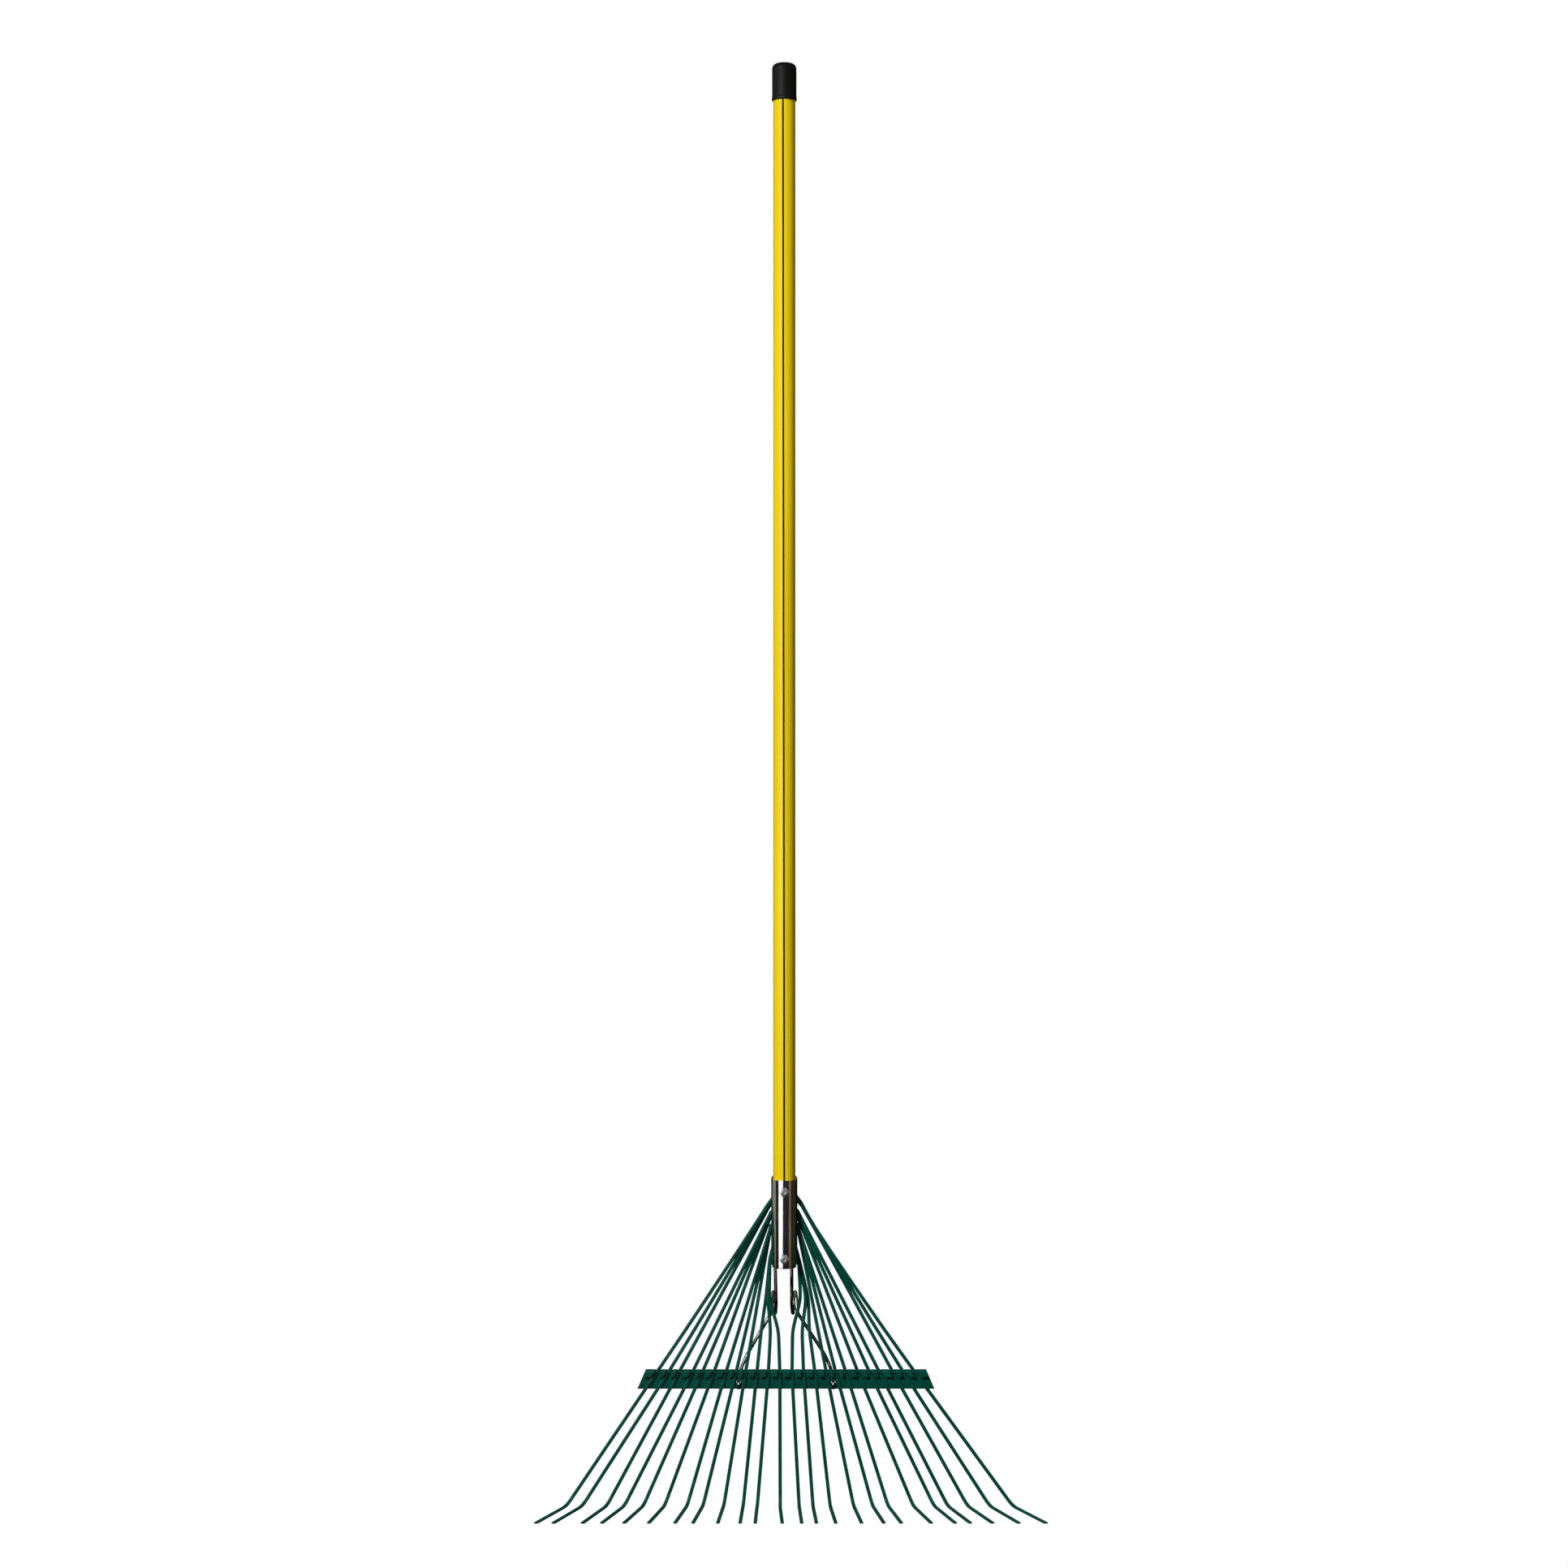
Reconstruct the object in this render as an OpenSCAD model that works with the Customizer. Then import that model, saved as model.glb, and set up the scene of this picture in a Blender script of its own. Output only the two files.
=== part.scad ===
// Spring-brace leaf rake: 24 flat spring tines fanned out from a two-piece clamp ferrule, held apart
// by a slotted crossbar and backed by a coil-spring wire brace, on a tubular handle.
// Frame: z = 0 is the lowest point of the tine tips, the handle axis is x = 0, y = 0 and runs up +Z.
// The tine hooks and the nuts face -Y; the wire brace and the bolt heads are on the +Y side.

/* [Handle] */
// Outer diameter of the handle tube
handle_d = 25.4; // [25.2:0.1:25.6]
// Wall of the handle tube
handle_wall = 3.2; // [2:0.1:4]
// Height of the handle's lower end above the tips
handle_foot_z = 278.5; // [278:0.1:278.9]
// Length of the handle
handle_len = 1365; // [900:0.5:1500]
// Length of the core plug inside the clamped end
core_len = 125; // [110:1:200]

/* [End cap] */
// Outer diameter of the cap at its closed top
cap_d = 27.9; // [27.6:0.1:28.4]
// Outer diameter of the cap at its open lip
cap_lip_d = 28.6; // [28.4:0.1:29.4]
// Height of the flared lip
cap_lip_h = 6; // [3:0.1:8]
// Length of the cap
cap_len = 42.2; // [35:0.1:60]
// Thickness of the cap's closed end
cap_top = 4.5; // [4:0.1:8]
// Rounding of the cap's top edge
cap_round = 6; // [5:0.1:7]

/* [Ferrule] */
// Height of the ferrule's lower end
ferrule_z = 279; // [279:0.1:280]
// Length of the front shell
ferrule_len = 100; // [99:0.1:101]
// How far the rear shell reaches above the front shell
rear_rise = 2; // [0:0.1:4]
// Sheet thickness of both shells
shell_t = 0.9; // [0.8:0.05:1]
// Half-width over the rear shell's side flanges
rear_half_w = 15; // [14.6:0.1:16]
// Depth of the rear shell's centre channel floor behind the handle axis
channel_y = 17; // [16.9:0.1:18]
// Heights of the two clamp bolts
bolt_z = [290, 366]; // [280:0.1:378]

/* [Clamp bolts] */
// Diameter of the bolt shank
bolt_d = 4.8; // [4.5:0.1:5]
// Width across flats of the bolt head
head_af = 8; // [7:0.1:9]
// Height of the bolt head
head_h = 3.4; // [2.5:0.1:5]
// Width across flats of the lock nut
nut_af = 9.5; // [8.8:0.1:10]
// Height of the nut's hexagon
nut_h = 3.2; // [2.5:0.1:5]
// Diameter of the nut's round collar
nut_collar_d = 7.4; // [6.4:0.1:8]

/* [Tines] */
// Width of the flat spring wire, across the fan
tine_w = 4; // [3:0.1:4]
// Thickness of the flat spring wire
tine_t = 2; // [1.6:0.1:2]
// Distance from the handle axis at which the tine lines pass their exit heights
exit_x = 15.5; // [15:0.1:16]
// Angle of the hooks
hook_angle = 81.5; // [60:0.5:90]
// Bend radius of the hooks at mid-thickness
hook_r = 12; // [8:0.5:16]
// Straight length of the hooks beyond the bend
hook_len = 43.4; // [30:0.1:50]
// Height where the straight tines would meet the line of the hooks
hook_z = 9; // [8:0.1:12]

/* [Crossbar] */
// Sideways offset of the crossbar from the handle axis
bar_x = 1.9; // [0:0.1:3]
// Height of the top of the crossbar
bar_top_z = 163; // [160:0.1:165]
// Total height of the crossbar
bar_h = 23.1; // [21:0.1:24]
// Half-length of the crossbar at its top
bar_half = 159.3; // [158:0.1:164]
// Sheet thickness of the crossbar
bar_t = 1.2; // [1:0.05:1.3]
// Outer radius of the rolled top edge
curl_r = 3.45; // [3.4:0.01:3.6]
// Width of the slots, square to the tine
slot_w = 5.6; // [5:0.1:6]
// Diameter of the lock rod in the rolled edge
rod_d = 2; // [1.6:0.1:2]

/* [Spring brace] */
// Diameter of the brace wire
brace_d = 4; // [3.6:0.1:4]
// Half-distance between the two upright legs
leg_x = 9.6; // [9:0.1:9.7]
// Mean radius of the coils
coil_r = 12.2; // [11:0.1:13]
// Height of the coil centres
coil_z = 234; // [232:0.5:236]
// Distance of each foot from the middle of the crossbar
foot_x = 53.9; // [53.6:0.1:54.2]

/* [Hidden] */
$fn = 64;
groups = 4;
per_group = 3;
side_count = groups * per_group;
tine_count = 2 * side_count;
fit_gap = 0.1;
eps = 0.5;

function two_digits(i) = i < 10 ? str("0", i) : str(i);
function tine_name(i) = str("tine_", two_digits(i));
// Tines are numbered 1 to 24 from -X to +X.
tine_numbers = [for (i = [1:tine_count]) i];

handle_r = handle_d / 2;
handle_top_z = handle_foot_z + handle_len;
cap_z = handle_top_z + cap_top - cap_len;
bore_d = bolt_d + 2 * fit_gap;
front_in_r = handle_r + 0.05;
front_r = front_in_r + shell_t;

// Stack of tines beside the handle, clamped between the two shells.
layer_y0 = 6.5;
function layer_y(j) = layer_y0 + tine_t / 2 + j * tine_t;
stack_back_y = layer_y0 + per_group * tine_t;
flange_y = stack_back_y + 0.05;
pocket_x = 12.95;
channel_in_x = 12.9;
seat_y = -(front_r - 0.4);
head_y = channel_y + shell_t;

// Crossbar levels: the tines lie at y = 0 between the lock rod in front and the flange behind.
flange_face_y = tine_t / 2 + 0.1;
curl_y = flange_face_y + bar_t - curl_r;
curl_z = bar_top_z - curl_r;
curl_in_r = curl_r - bar_t;
tab_z = 154.7;
bar_z = bar_top_z - bar_h;
slot_z = 157;
rod_y = -tine_t / 2 - fit_gap - rod_d / 2;

green = [0, 0.25, 0.2];
bright = [0.75, 0.75, 0.75];
zinc = [0.62, 0.64, 0.66];

// ---- handle ----

module bolt_bores(d) {
    for (z = bolt_z)
        translate([0, 0, z])
            rotate([90, 0, 0])
                cylinder(h = 60, d = d, center = true);
}

module handle_tube() {
    color("gold")
        difference() {
            translate([0, 0, handle_foot_z])
                cylinder(h = handle_len, d = handle_d);
            translate([0, 0, handle_foot_z - eps])
                cylinder(h = handle_len + 2 * eps, d = handle_d - 2 * handle_wall);
            bolt_bores(bore_d);
        }
}

module handle_core() {
    color("burlywood")
        difference() {
            translate([0, 0, handle_foot_z + 1])
                cylinder(h = core_len, d = handle_d - 2 * handle_wall - 0.1);
            bolt_bores(bore_d);
        }
}

// Half-section of the cap's outside: straight, with a flared lip and a rounded shoulder.
module cap_outline() {
    top_r = cap_d / 2;
    polygon([
        [0, 0],
        [cap_lip_d / 2, 0],
        [cap_lip_d / 2, cap_lip_h / 3],
        [top_r, cap_lip_h],
        [top_r, cap_len - cap_round],
        [0, cap_len - cap_round]
    ]);
    square([top_r - cap_round, cap_len]);
    translate([top_r - cap_round, cap_len - cap_round])
        circle(r = cap_round);
}

module end_cap() {
    color([0.05, 0.05, 0.05])
        translate([0, 0, cap_z])
            difference() {
                rotate_extrude()
                    intersection() {
                        cap_outline();
                        square([cap_lip_d, cap_len + 1]);
                    }
                translate([0, 0, -eps])
                    cylinder(h = cap_len - cap_top + eps, d = handle_d + 0.1);
            }
}

// ---- ferrule ----

// Half-round front with straight sides that reach back to the tine stack.
module ferrule_front() {
    side_y = layer_y0 - fit_gap;
    color(bright)
        difference() {
            translate([0, 0, ferrule_z])
                linear_extrude(height = ferrule_len)
                    difference() {
                        union() {
                            circle(r = front_r);
                            translate([-front_r, 0])
                                square([2 * front_r, side_y]);
                        }
                        circle(r = front_in_r);
                        translate([-front_in_r, 0])
                            square([2 * front_in_r, side_y + handle_d]);
                    }
            bolt_bores(bore_d);
            nut_seats();
        }
}

// Small flats pressed into the front shell under the nuts.
module nut_seats() {
    for (z = bolt_z)
        translate([0, seat_y, z])
            rotate([90, 0, 0])
                cylinder(h = 5, d = nut_af + 2);
}

// Half-section of the rear shell on the +X side, along its inside and back along its outside.
channel_out_x = channel_in_x + shell_t;
rear_inside = [
    [channel_in_x, channel_y],
    [channel_in_x, flange_y],
    [rear_half_w, flange_y]
];
rear_outside = [
    [rear_half_w, flange_y + shell_t],
    [channel_out_x, flange_y + shell_t],
    [channel_out_x, channel_y + shell_t]
];
function mirrored(p) = [for (k = [len(p) - 1:-1:0]) [-p[k][0], p[k][1]]];

// Side flanges behind the tine stack and a deeper channel that takes the brace wire.
module ferrule_rear() {
    color(bright)
        difference() {
            translate([0, 0, ferrule_z])
                linear_extrude(height = ferrule_len + rear_rise)
                    polygon(concat(
                        rear_inside, rear_outside,
                        mirrored(rear_outside), mirrored(rear_inside)
                    ));
            bolt_bores(bore_d);
        }
}

// ---- clamp bolts and lock nuts ----

nut_collar_h = 1.5;
bolt_len = head_y - seat_y + nut_h + nut_collar_h - 0.3;

module clamp_bolt(z) {
    color(zinc)
        translate([0, head_y, z])
            rotate([90, 0, 0])
                difference() {
                    union() {
                        translate([0, 0, -head_h / 2])
                            cylinder(h = bolt_len + head_h / 2, d = bolt_d);
                        translate([0, 0, -head_h])
                            rotate([0, 0, 30])
                                cylinder(h = head_h, d = head_af / cos(30), $fn = 6);
                    }
                    translate([0, 0, bolt_len - 1])
                        cylinder(h = 2, d = 3.2);
                }
}

module lock_nut(z) {
    color(zinc)
        translate([0, seat_y, z])
            rotate([90, 0, 0])
                difference() {
                    union() {
                        rotate([0, 0, 30])
                            cylinder(h = nut_h, d = nut_af / cos(30), $fn = 6);
                        cylinder(h = nut_h + nut_collar_h, d = nut_collar_d);
                    }
                    translate([0, 0, -eps])
                        cylinder(h = 10, d = bolt_d + fit_gap);
                }
}

// ---- the fan of tines ----

// Position in the side: 0 is the innermost tine, 11 the outermost.
function group_of(i) = floor(i / per_group);
// Distance of each slot from the middle of the crossbar.
slot_x = [6.9, 20.1, 33.3, 46.4, 57.3, 69, 82.9, 96.2, 107.6, 123, 135.2, 148.5];
// Distance of a slot from the handle axis on one side (side is -1 or 1).
function bar_point(i, side) = slot_x[i] + side * bar_x;

function of_side(side) = side > 0 ? 1 : 0;

// Height at which the line of each tine passes exit_x, for the -X side and the +X side.
exit_table = [
    [297, 297, 297, 322, 324, 323, 335.5, 337, 339.5, 350, 352.5, 354],
    [297, 297, 297, 321.5, 325, 324, 334, 337, 341, 356, 353, 353]
];
function exit_z(i, side) = exit_table[of_side(side)][i];
// Distance of each tine from the handle axis at the bend of its hook.
hook_x = [
    [4.6, 30.5, 46.5, 68.5, 92, 110, 135.5, 159.5, 181, 201, 228.5, 246.5],
    [16.8, 32.5, 52, 78.5, 100, 117.5, 146, 169.5, 185, 207.5, 232.5, 258.5]
];

// Shoulder and neck of the inner group, which steps round the coils.
shoulder_x = [[17.2, 18.8, 21], [18.6, 25, 27.6]];
neck_x = [[6.6, 15.6, 26.2], [9.4, 20.2, 28.4]];
shoulder_z = 241;
neck_z = 206;
bulge_x = 16.4;
// The last group is not quite straight: it sags inwards half-way down, and on the +X side it
// bulges out where it leaves the ferrule.
last_group = side_count - per_group;
sag_table = [[0.5, 1.2, 1.3], [0, 0.8, 2.4]];
bulge_table = [[0, 0, 0], [1, 1.5, 2]];
function of_last(table, i, side) = i < last_group ? 0 : table[of_side(side)][i - last_group];
function sag(i, side) = of_last(sag_table, i, side);
function bulge(i, side) = of_last(bulge_table, i, side);

hook_tan = hook_r * tan(hook_angle / 2);
hook_start_z = hook_z + hook_tan;
hook_arc = hook_r * hook_angle * PI / 180;
tip_h = hook_start_z - hook_arc - hook_len;

function drop(i, side) = exit_z(i, side) - slot_z;
function outer_slope(i, side) = (bar_point(i, side) - exit_x) / drop(i, side);
function lower_slope(i, side) =
    (hook_x[of_side(side)][i] - bar_point(i, side)) / (slot_z - hook_z);

// The hooks turn slightly inwards beyond their bend, except in the inner group on the +X side.
function hook_turn(i, side) = side < 0 || group_of(i) > 0 ? 0.05 : 0;

// Layer of a tine in its stack: the outer tine of a group is in front, but in the inner group the
// innermost one is.
function layer_of(i) = group_of(i) > 0 ? per_group - 1 - i % per_group : i;
// The tine of the next group that lies in the same layer.
function next_in_layer(i) = group_of(i) > 0 ? i + per_group : 2 * per_group - 1 - i;

// Each tine of the stack ends below the place where the next one in its layer swings out.
function run_top(i, side) =
    let (n = next_in_layer(i))
    i < last_group
        ? exit_z(n, side) - (tine_w / 2) / outer_slope(n, side) - 1
        : ferrule_z + ferrule_len - 5;

// Point of a tine of the last group at a share of its way down to the slot.
function bowed(i, side, share) =
    let (
        across = exit_x + (bar_point(i, side) - exit_x) * share,
        inwards = sag(i, side) * 4 * share * (1 - share),
        outwards = bulge(i, side) * max(0, 1 - share / 0.15)
    )
    [across - inwards + outwards, exit_z(i, side) - drop(i, side) * share];
bow_shares = [0.03, 0.09, 0.16, 0.3, 0.5, 0.75];

// Outline of one tine in the flat fan, from the ferrule to the tip: [distance from axis, height].
function upper_route(i, side) =
    let (
        s = of_side(side),
        z = exit_z(i, side),
        start = [[pocket_x, run_top(i, side)], [pocket_x, z + 3]]
    )
    group_of(i) == 0
        ? concat(start, [
            [bulge_x, z - 9],
            [shoulder_x[s][i], shoulder_z],
            [neck_x[s][i], neck_z]
        ])
        : i < last_group
            ? concat(start, [[exit_x - outer_slope(i, side), z + 1]])
            : concat(start, [for (share = bow_shares) bowed(i, side, share)]);
function flat_route(i, side) =
    concat(
        upper_route(i, side),
        [
            [bar_point(i, side), slot_z],
            [bar_point(i, side) + lower_slope(i, side) * (slot_z - tip_h), tip_h]
        ]
    );

// Corner rounding with a parabola that starts r before the corner and ends r after it.
function toward(a, b, r) = a + (b - a) * min(r / norm(b - a), 0.45);
function parabola(a, c, b, t) = (1 - t) * (1 - t) * a + 2 * t * (1 - t) * c + t * t * b;
function round_corner(p, k, r, n) =
    let (
        a = toward(p[k], p[k - 1], r),
        b = toward(p[k], p[k + 1], r)
    )
    [for (m = [0:n]) parabola(a, p[k], b, m / n)];
function corner_r(z) = z > shoulder_z + 50 ? 1.6 : z > neck_z - 1 ? 9 : 3;
function rounded_route(p) =
    concat(
        [p[0]],
        [for (k = [1:len(p) - 2]) each round_corner(p, k, corner_r(p[k][1]), 3)],
        [p[len(p) - 1]]
    );

// Extra stations on the last straight stretch, so that the hook bends smoothly.
hook_steps = 6;
hook_stations = [for (m = [0:hook_steps]) hook_start_z - hook_arc * m / hook_steps];
function with_hook(p) =
    let (
        a = p[len(p) - 2],
        b = p[len(p) - 1]
    )
    concat(
        [for (k = [0:len(p) - 2]) p[k]],
        [for (h = hook_stations) a + (b - a) * (a[1] - h) / (a[1] - b[1])],
        [b]
    );

// The stacked tines keep their layer until they have spread by a tine's width, then lean forward.
lean_end_z = bar_top_z + 3;
function lean_z(i, side) =
    group_of(i) == 0
        ? neck_z + 20
        : exit_z(i, side) - (i < last_group ? 0.39 : 0.52) * drop(i, side);
function between(p, z) =
    [for (k = [0:len(p) - 2]) if (p[k][1] > z && p[k + 1][1] < z)
        p[k] + (p[k + 1] - p[k]) * (p[k][1] - z) / (p[k][1] - p[k + 1][1])];
function with_station(p, z) =
    concat(
        [for (q = p) if (q[1] > z) q],
        between(p, z),
        [for (q = p) if (q[1] < z) q]
    );
function stations(i, side) =
    with_hook(with_station(with_station(
        rounded_route(flat_route(i, side)), lean_z(i, side)), lean_end_z));

function lean(i, side, h) =
    layer_y(layer_of(i))
        * min(1, max(0, (h - lean_end_z) / (lean_z(i, side) - lean_end_z)));

// Folding the flat fan: the angle, depth and height of a station at height h on the flat sheet.
function fold(h) = min(hook_angle, max(0, (hook_start_z - h) / hook_r * 180 / PI));
function past(h) = max(0, hook_start_z - hook_arc - h);
function fold_y(h) = -hook_r * (1 - cos(fold(h))) - past(h) * sin(hook_angle);
function fold_z(h) =
    h > hook_start_z
        ? h
        : hook_start_z - hook_r * sin(fold(h)) - past(h) * cos(hook_angle);

// Cross-section of the wire: a flat bar with chamfered edges, as [across, through].
wire_chamfer = 0.45;
half_w = tine_w / 2;
half_t = tine_t / 2;
flat_w = half_w - wire_chamfer;
flat_t = half_t - wire_chamfer;
wire_section = [
    [-half_w, -flat_t], [-flat_w, -half_t],
    [flat_w, -half_t], [half_w, -flat_t],
    [half_w, flat_t], [flat_w, half_t],
    [-flat_w, half_t], [-half_w, flat_t]
];

// One ring of the sweep, level with x so that the tips end on one line.
function slope_at(p, k) =
    let (
        a = p[max(0, k - 1)],
        b = p[min(len(p) - 1, k + 1)]
    )
    abs(b[0] - a[0]) / abs(a[1] - b[1]);
function ring(i, side, p, k) =
    let (
        h = p[k][1],
        f = fold(h),
        widen = sqrt(1 + pow(slope_at(p, k), 2))
    )
    [for (q = wire_section)
        [
            side * (p[k][0] - hook_turn(i, side) * past(h)) + q[0] * widen,
            lean(i, side, h) + fold_y(h) + q[1] * cos(f),
            fold_z(h) - q[1] * sin(f)
        ]];

// Skin of a tube of rings, with n points in each ring.
function skin(rings, n) =
    concat(
        [[for (m = [0:n - 1]) m]],
        [for (k = [0:rings - 2], m = [0:n - 1])
            let (a = k * n + m, b = k * n + (m + 1) % n)
            [a, a + n, b + n]],
        [for (k = [0:rings - 2], m = [0:n - 1])
            let (a = k * n + m, b = k * n + (m + 1) % n)
            [a, b + n, b]],
        [[for (m = [n - 1:-1:0]) (rings - 1) * n + m]]
    );

module tine(number) {
    side = number > side_count ? 1 : -1;
    i = side > 0 ? number - side_count - 1 : side_count - number;
    p = stations(i, side);
    n = len(wire_section);
    points = [for (k = [0:len(p) - 1]) each ring(i, side, p, k)];
    color(green)
        polyhedron(points = points, faces = skin(len(p), n));
}

// ---- crossbar ----

bar_len = 2 * bar_half + 40;
end_slope = 0.43;
lip_len = 4.5;
lip_r = 2;

// Section in y and z: flange, rolled top edge in front, and a lip turned back at the bottom.
module bar_section() {
    difference() {
        translate([curl_y, curl_z])
            circle(r = curl_r);
        translate([curl_y, curl_z])
            circle(r = curl_in_r);
        translate([curl_y - 2 * curl_r, curl_z - 3 * curl_r])
            square([4 * curl_r, 3 * curl_r]);
    }
    translate([curl_y - curl_r, tab_z])
        square([bar_t, curl_z - tab_z]);
    translate([flange_face_y, bar_z + lip_r])
        square([bar_t, curl_z - bar_z - lip_r]);
    translate([flange_face_y + lip_r, bar_z + lip_r])
        difference() {
            circle(r = lip_r);
            circle(r = lip_r - bar_t);
            translate([0, -2 * lip_r])
                square([4 * lip_r, 4 * lip_r]);
            translate([-2 * lip_r, 0])
                square([4 * lip_r, 4 * lip_r]);
        }
    translate([flange_face_y + lip_r, bar_z])
        square([lip_len - lip_r, bar_t]);
}

// Outline in x and z, with the slanted ends.
module bar_outline() {
    low = bar_half + end_slope * (bar_h + 1);
    high = bar_half - end_slope;
    polygon([
        [-low, bar_z - 1],
        [low, bar_z - 1],
        [high, bar_top_z + 1],
        [-high, bar_top_z + 1]
    ]);
}

function slot_slope(i, side) =
    group_of(i) > 0
        ? outer_slope(i, side) + 4 * sag(i, side) / drop(i, side)
        : lower_slope(i, side);

// Slots in x and z, each slanted along its own tine.
module slot_shapes() {
    for (side = [-1, 1])
        for (i = [0:side_count - 1]) {
            s = side * slot_slope(i, side);
            half = slot_w / 2 * sqrt(1 + s * s);
            low_z = tab_z - 2;
            high_z = bar_top_z + 1;
            x_low = side * bar_point(i, side) + s * (slot_z - low_z);
            x_high = side * bar_point(i, side) + s * (slot_z - high_z);
            polygon([
                [x_low - half, low_z],
                [x_low + half, low_z],
                [x_high + half, high_z],
                [x_high - half, high_z]
            ]);
        }
}

// Turns a drawing in x and z to face -Y, from y = y0 back to y = y0 + depth.
module stand(y0, depth) {
    translate([0, y0 + depth, 0])
        rotate([90, 0, 0])
            linear_extrude(height = depth)
                children();
}

foot_hole_z = 147.8;
slot_front_y = curl_y - curl_r - 1;
slot_back_y = flange_face_y - 0.05;

module crossbar() {
    color(green)
        difference() {
            intersection() {
                translate([bar_x - bar_len / 2, 0, 0])
                    rotate([90, 0, 90])
                        linear_extrude(height = bar_len)
                            bar_section();
                translate([bar_x, 0, 0])
                    stand(-20, 40)
                        bar_outline();
            }
            stand(slot_front_y, slot_back_y - slot_front_y)
                slot_shapes();
            for (side = [-1, 1])
                translate([bar_x + side * foot_x, 0, foot_hole_z])
                    rotate([90, 0, 0])
                        cylinder(h = 12, d = brace_d + 0.8, center = true);
        }
}

rod_half = bar_half - 1.5;

module lock_rod() {
    color(green)
        translate([bar_x - rod_half, rod_y, curl_z])
            rotate([0, 90, 0])
                cylinder(h = 2 * rod_half, d = rod_d);
}

// ---- spring brace ----

wire_sides = 10;
brace_y = channel_y - fit_gap - brace_d / 2;
crown_z = 297;
coil_y = brace_y + coil_r;
coil_steps = 20;
// The crown sits a little to the -X side, so each leg leans to its own coil.
crown_x = -1.2;
coil_x = [9.3, 8.6];
coil_pitch = [4.5, 5.6];
behind_y = flange_face_y + bar_t + lip_len - lip_r + 1.2;
front_y = flange_face_y - fit_gap - brace_d / 2;

// Half of the wire as points from the top of the crown, over one leg and coil, to the foot.
// Distances are from the handle axis towards the given side.
function crown(side) =
    [for (m = [0:6]) [
        side * crown_x + leg_x * sin(15 * m),
        brace_y,
        crown_z + leg_x * cos(15 * m)
    ]];
function coil(x, pitch) =
    [for (m = [0:coil_steps])
        let (a = 360 * m / coil_steps)
        [
            x + pitch * m / coil_steps,
            coil_y - coil_r * cos(a),
            coil_z - coil_r * sin(a)
        ]];
// Corners of the diagonal and the foot, from the end of the coil at distance x to the foot at f.
function strut(x, f) = [
    [x, brace_y, coil_z - 1],
    [x + 0.6, brace_y - 1, coil_z - 9],
    [f - 9, behind_y + 2.2, 177],
    [f - 2.5, behind_y, 162],
    [f, behind_y, foot_hole_z],
    [f, front_y, foot_hole_z],
    [f, front_y, bar_z + 0.5]
];
strut_round = [0, 5, 8, 5, 2.4, 2.3, 0];
function strut_route(x, f) =
    let (p = strut(x, f))
    concat(
        [for (k = [1:len(p) - 2]) each round_corner(p, k, strut_round[k], 4)],
        [p[len(p) - 1]]
    );
function half_wire(side) =
    let (
        x = coil_x[of_side(side)],
        pitch = coil_pitch[of_side(side)]
    )
    concat(
        crown(side),
        coil(x, pitch),
        strut_route(x + pitch, foot_x + side * bar_x)
    );
function flip(p) = [for (k = [len(p) - 1:-1:1]) [-p[k][0], p[k][1], p[k][2]]];

// Ring frames carried along the wire, each turned as little as possible from the one before.
function unit(v) = v / norm(v);
function heading(p, k) =
    k == 0 ? unit(p[1] - p[0])
    : k == len(p) - 1 ? unit(p[k] - p[k - 1])
    : unit(unit(p[k + 1] - p[k]) + unit(p[k] - p[k - 1]));
function upright(v, t) = unit(v - (v * t) * t);
function carried(p, k = 0, v = [1, 0, 0], out = []) =
    k == len(p)
        ? out
        : let (n = upright(v, heading(p, k)))
            carried(p, k + 1, n, concat(out, [n]));
function wire_ring(c, t, n, r) =
    let (b = cross(t, n))
    [for (m = [0:wire_sides - 1])
        let (a = 360 * m / wire_sides)
        c + r * (cos(a) * n + sin(a) * b)];

module wire(p, r) {
    normals = carried(p);
    points = [for (k = [0:len(p) - 1]) each wire_ring(p[k], heading(p, k), normals[k], r)];
    polyhedron(points = points, faces = skin(len(p), wire_sides));
}

module spring_brace() {
    route = concat(flip(half_wire(-1)), half_wire(1));
    color(bright)
        wire(route, brace_d / 2);
}

// ---- nodes ----

handle_tube();
handle_core();
end_cap();
ferrule_front();
ferrule_rear();
clamp_bolt(bolt_z[0]);  // bolt_lower
clamp_bolt(bolt_z[1]);  // bolt_upper
lock_nut(bolt_z[0]);  // nut_lower
lock_nut(bolt_z[1]);  // nut_upper
crossbar();
lock_rod();
spring_brace();
for (i = tine_numbers)
    tine(i);
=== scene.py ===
import math

import bmesh
import bpy
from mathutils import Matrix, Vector


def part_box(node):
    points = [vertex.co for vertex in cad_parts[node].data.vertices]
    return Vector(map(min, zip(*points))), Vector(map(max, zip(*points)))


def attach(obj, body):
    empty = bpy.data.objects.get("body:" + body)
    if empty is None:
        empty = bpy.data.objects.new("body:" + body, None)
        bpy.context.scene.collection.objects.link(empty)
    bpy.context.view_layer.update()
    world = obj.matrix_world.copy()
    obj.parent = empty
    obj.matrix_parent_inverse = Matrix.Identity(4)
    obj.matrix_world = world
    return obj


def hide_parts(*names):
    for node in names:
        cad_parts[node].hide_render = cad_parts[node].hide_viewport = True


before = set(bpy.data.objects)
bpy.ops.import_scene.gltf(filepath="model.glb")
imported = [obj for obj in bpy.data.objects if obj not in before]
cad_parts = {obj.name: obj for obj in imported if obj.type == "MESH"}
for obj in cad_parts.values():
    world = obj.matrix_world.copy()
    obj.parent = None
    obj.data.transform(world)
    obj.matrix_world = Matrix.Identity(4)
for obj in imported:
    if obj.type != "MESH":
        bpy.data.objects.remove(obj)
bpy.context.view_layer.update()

scene = bpy.context.scene

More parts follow.
